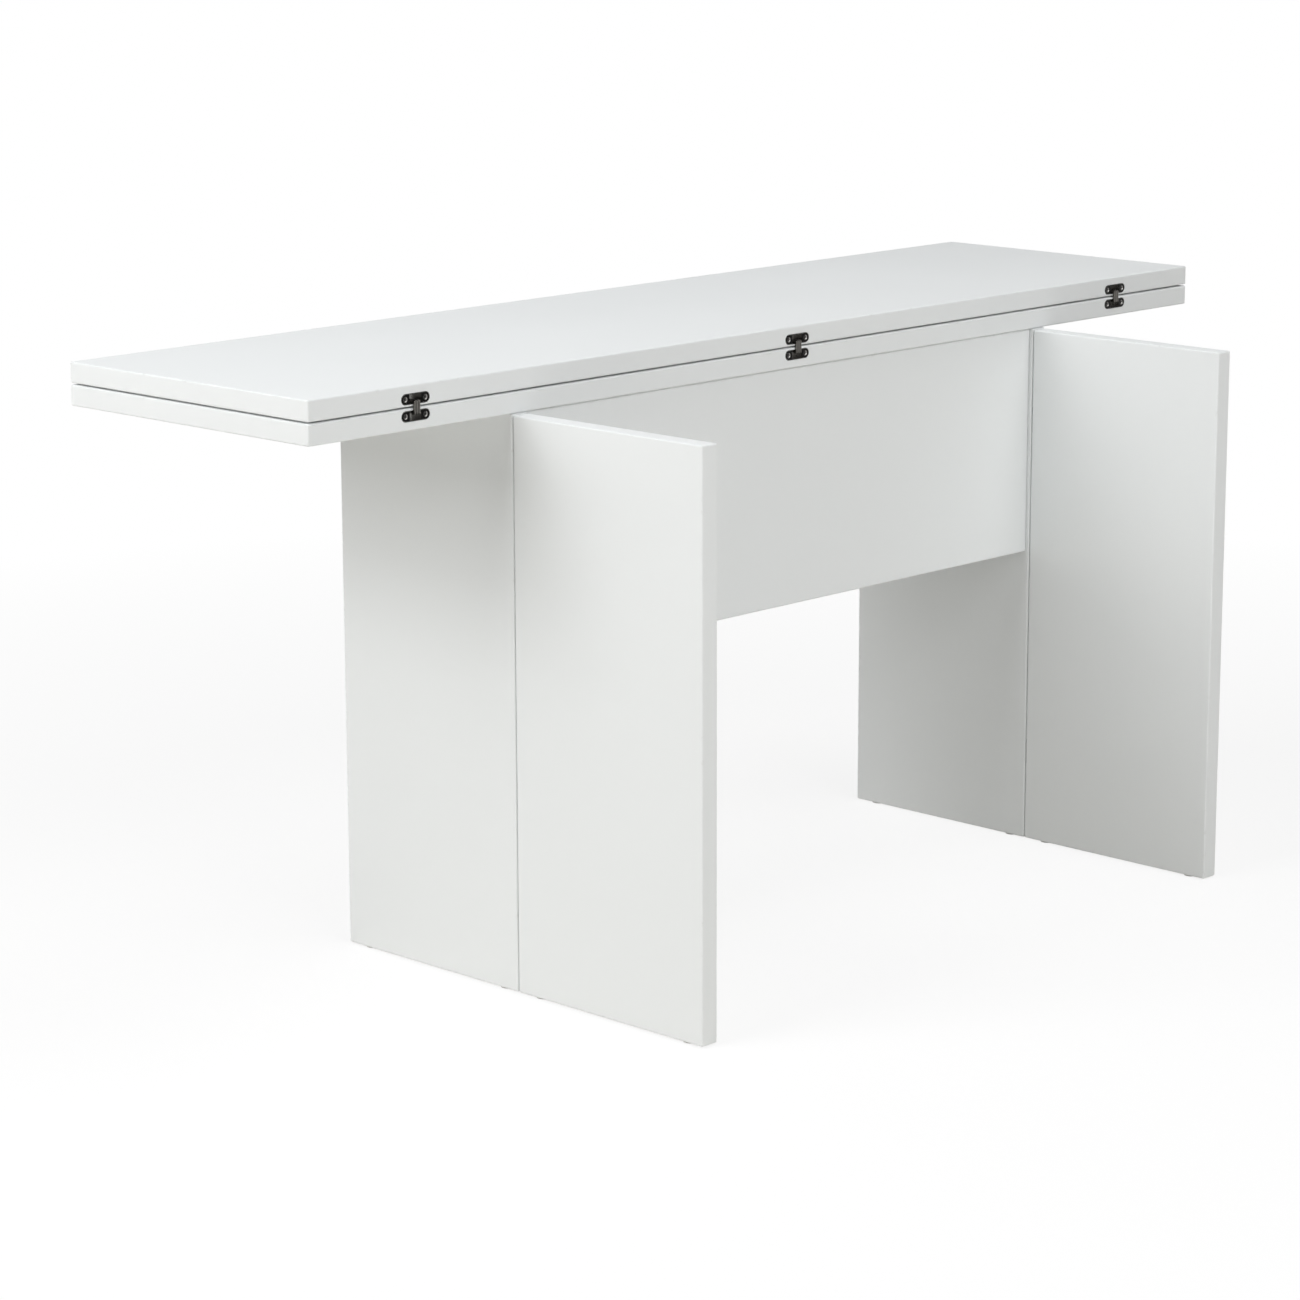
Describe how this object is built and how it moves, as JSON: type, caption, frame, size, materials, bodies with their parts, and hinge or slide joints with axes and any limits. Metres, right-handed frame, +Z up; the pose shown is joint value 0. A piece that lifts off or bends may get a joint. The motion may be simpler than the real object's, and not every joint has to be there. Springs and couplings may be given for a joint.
{
  "type": "folding dining table",
  "caption": "White panel table whose doubled top flips open on cross hinges, over a fixed frame with a centre panel and leg wings that swing out to carry the opened leaf.",
  "frame": {"origin": "on the floor, under the middle of the table as it stands: top folded, leg wings swung out", "axes": "+Z up, X along the length of the top, -Y the side to which the leg wings swing out and the upper leaf opens"},
  "size_m": [1.6, 0.721, 0.75],
  "materials": {
    "white_board": "satin white lacquer on board",
    "hinge_casting": "dark gunmetal",
    "hinge_steel": "darkened steel",
    "bracket_steel": "bright zinc plate",
    "zinc_fitting": "cast zinc",
    "glide_nylon": "matte",
    "dowel_beech": "plain beech"
  },
  "bodies": {
    "frame": {"lower_leaf": "white_board", "centre_panel": "white_board", "left_fixed_leg": "white_board", "right_fixed_leg": "white_board", "left_fixed_leg_glide_front": "glide_nylon", "left_fixed_leg_glide_back": "glide_nylon", "right_fixed_leg_glide_front": "glide_nylon", "right_fixed_leg_glide_back": "glide_nylon", "top_hinge_left_lower_housing": "hinge_casting", "top_hinge_middle_lower_housing": "hinge_casting", "top_hinge_right_lower_housing": "hinge_casting", "left_hinge_low_leg_housing": "hinge_casting", "left_hinge_high_leg_housing": "hinge_casting", "right_hinge_low_leg_housing": "hinge_casting", "right_hinge_high_leg_housing": "hinge_casting", "left_leg_bracket": "bracket_steel", "right_leg_bracket": "bracket_steel", "panel_bracket_left": "bracket_steel", "panel_bracket_right": "bracket_steel", "panel_cam_left_low": "zinc_fitting", "panel_cam_left_high": "zinc_fitting", "panel_cam_right_low": "zinc_fitting", "panel_cam_right_high": "zinc_fitting", "panel_cam_bolt_left_low": "zinc_fitting", "panel_cam_bolt_left_high": "zinc_fitting", "panel_cam_bolt_right_low": "zinc_fitting", "panel_cam_bolt_right_high": "zinc_fitting", "panel_dowel_left_low": "dowel_beech", "panel_dowel_left_high": "dowel_beech", "panel_dowel_right_low": "dowel_beech", "panel_dowel_right_high": "dowel_beech"},
    "upper_leaf": {"upper_leaf": "white_board", "top_hinge_left_upper_housing": "hinge_casting", "top_hinge_middle_upper_housing": "hinge_casting", "top_hinge_right_upper_housing": "hinge_casting"},
    "left_wing": {"left_wing": "white_board", "left_wing_glide_front": "glide_nylon", "left_wing_glide_back": "glide_nylon", "left_hinge_low_wing_housing": "hinge_casting", "left_hinge_high_wing_housing": "hinge_casting"},
    "right_wing": {"right_wing": "white_board", "right_wing_glide_front": "glide_nylon", "right_wing_glide_back": "glide_nylon", "right_hinge_low_wing_housing": "hinge_casting", "right_hinge_high_wing_housing": "hinge_casting"},
    "top_lower_arms": {"top_hinge_left_lower_arm": "hinge_steel", "top_hinge_middle_lower_arm": "hinge_steel", "top_hinge_right_lower_arm": "hinge_steel"},
    "top_upper_arms": {"top_hinge_left_upper_arm": "hinge_steel", "top_hinge_middle_upper_arm": "hinge_steel", "top_hinge_right_upper_arm": "hinge_steel"},
    "left_leg_arms": {"left_hinge_low_leg_arm": "hinge_steel", "left_hinge_high_leg_arm": "hinge_steel"},
    "left_wing_arms": {"left_hinge_low_wing_arm": "hinge_steel", "left_hinge_high_wing_arm": "hinge_steel"},
    "right_leg_arms": {"right_hinge_low_leg_arm": "hinge_steel", "right_hinge_high_leg_arm": "hinge_steel"},
    "right_wing_arms": {"right_hinge_low_wing_arm": "hinge_steel", "right_hinge_high_wing_arm": "hinge_steel"}
  },
  "joints": [
    {"name": "top_fold", "type": "hinge", "parent": "frame", "child": "upper_leaf", "pos_m": [0, -0.06, 0.724], "axis": [1, 0, 0], "range_deg": [0, 180]},
    {"name": "top_lower_arm_turn", "type": "hinge", "parent": "frame", "child": "top_lower_arms", "pos_m": [0, -0.054, 0.718], "axis": [1, 0, 0], "range_deg": [0, 90]},
    {"name": "top_upper_arm_turn", "type": "hinge", "parent": "upper_leaf", "child": "top_upper_arms", "pos_m": [0, -0.054, 0.73], "axis": [-1, 0, 0], "range_deg": [0, 90]},
    {"name": "left_wing_swing", "type": "hinge", "parent": "frame", "child": "left_wing", "pos_m": [-0.464, -0.06, 0.35], "axis": [0, 0, 1], "range_deg": [0, 90]},
    {"name": "left_leg_arm_turn", "type": "hinge", "parent": "frame", "child": "left_leg_arms", "pos_m": [-0.47, -0.054, 0.35], "axis": [0, 0, 1], "range_deg": [0, 45]},
    {"name": "left_wing_arm_turn", "type": "hinge", "parent": "left_wing", "child": "left_wing_arms", "pos_m": [-0.47, -0.066, 0.35], "axis": [0, 0, -1], "range_deg": [0, 45]},
    {"name": "right_wing_swing", "type": "hinge", "parent": "frame", "child": "right_wing", "pos_m": [0.464, -0.06, 0.35], "axis": [0, 0, -1], "range_deg": [0, 90]},
    {"name": "right_leg_arm_turn", "type": "hinge", "parent": "frame", "child": "right_leg_arms", "pos_m": [0.47, -0.054, 0.35], "axis": [0, 0, -1], "range_deg": [0, 45]},
    {"name": "right_wing_arm_turn", "type": "hinge", "parent": "right_wing", "child": "right_wing_arms", "pos_m": [0.47, -0.066, 0.35], "axis": [0, 0, 1], "range_deg": [0, 45]}
  ],
  "couplings": [
    {"joint": "top_lower_arm_turn", "follows": "top_fold", "ratio": 0.5},
    {"joint": "top_upper_arm_turn", "follows": "top_fold", "ratio": 0.5},
    {"joint": "left_leg_arm_turn", "follows": "left_wing_swing", "ratio": 0.5},
    {"joint": "left_wing_arm_turn", "follows": "left_wing_swing", "ratio": 0.5},
    {"joint": "right_leg_arm_turn", "follows": "right_wing_swing", "ratio": 0.5},
    {"joint": "right_wing_arm_turn", "follows": "right_wing_swing", "ratio": 0.5}
  ]
}
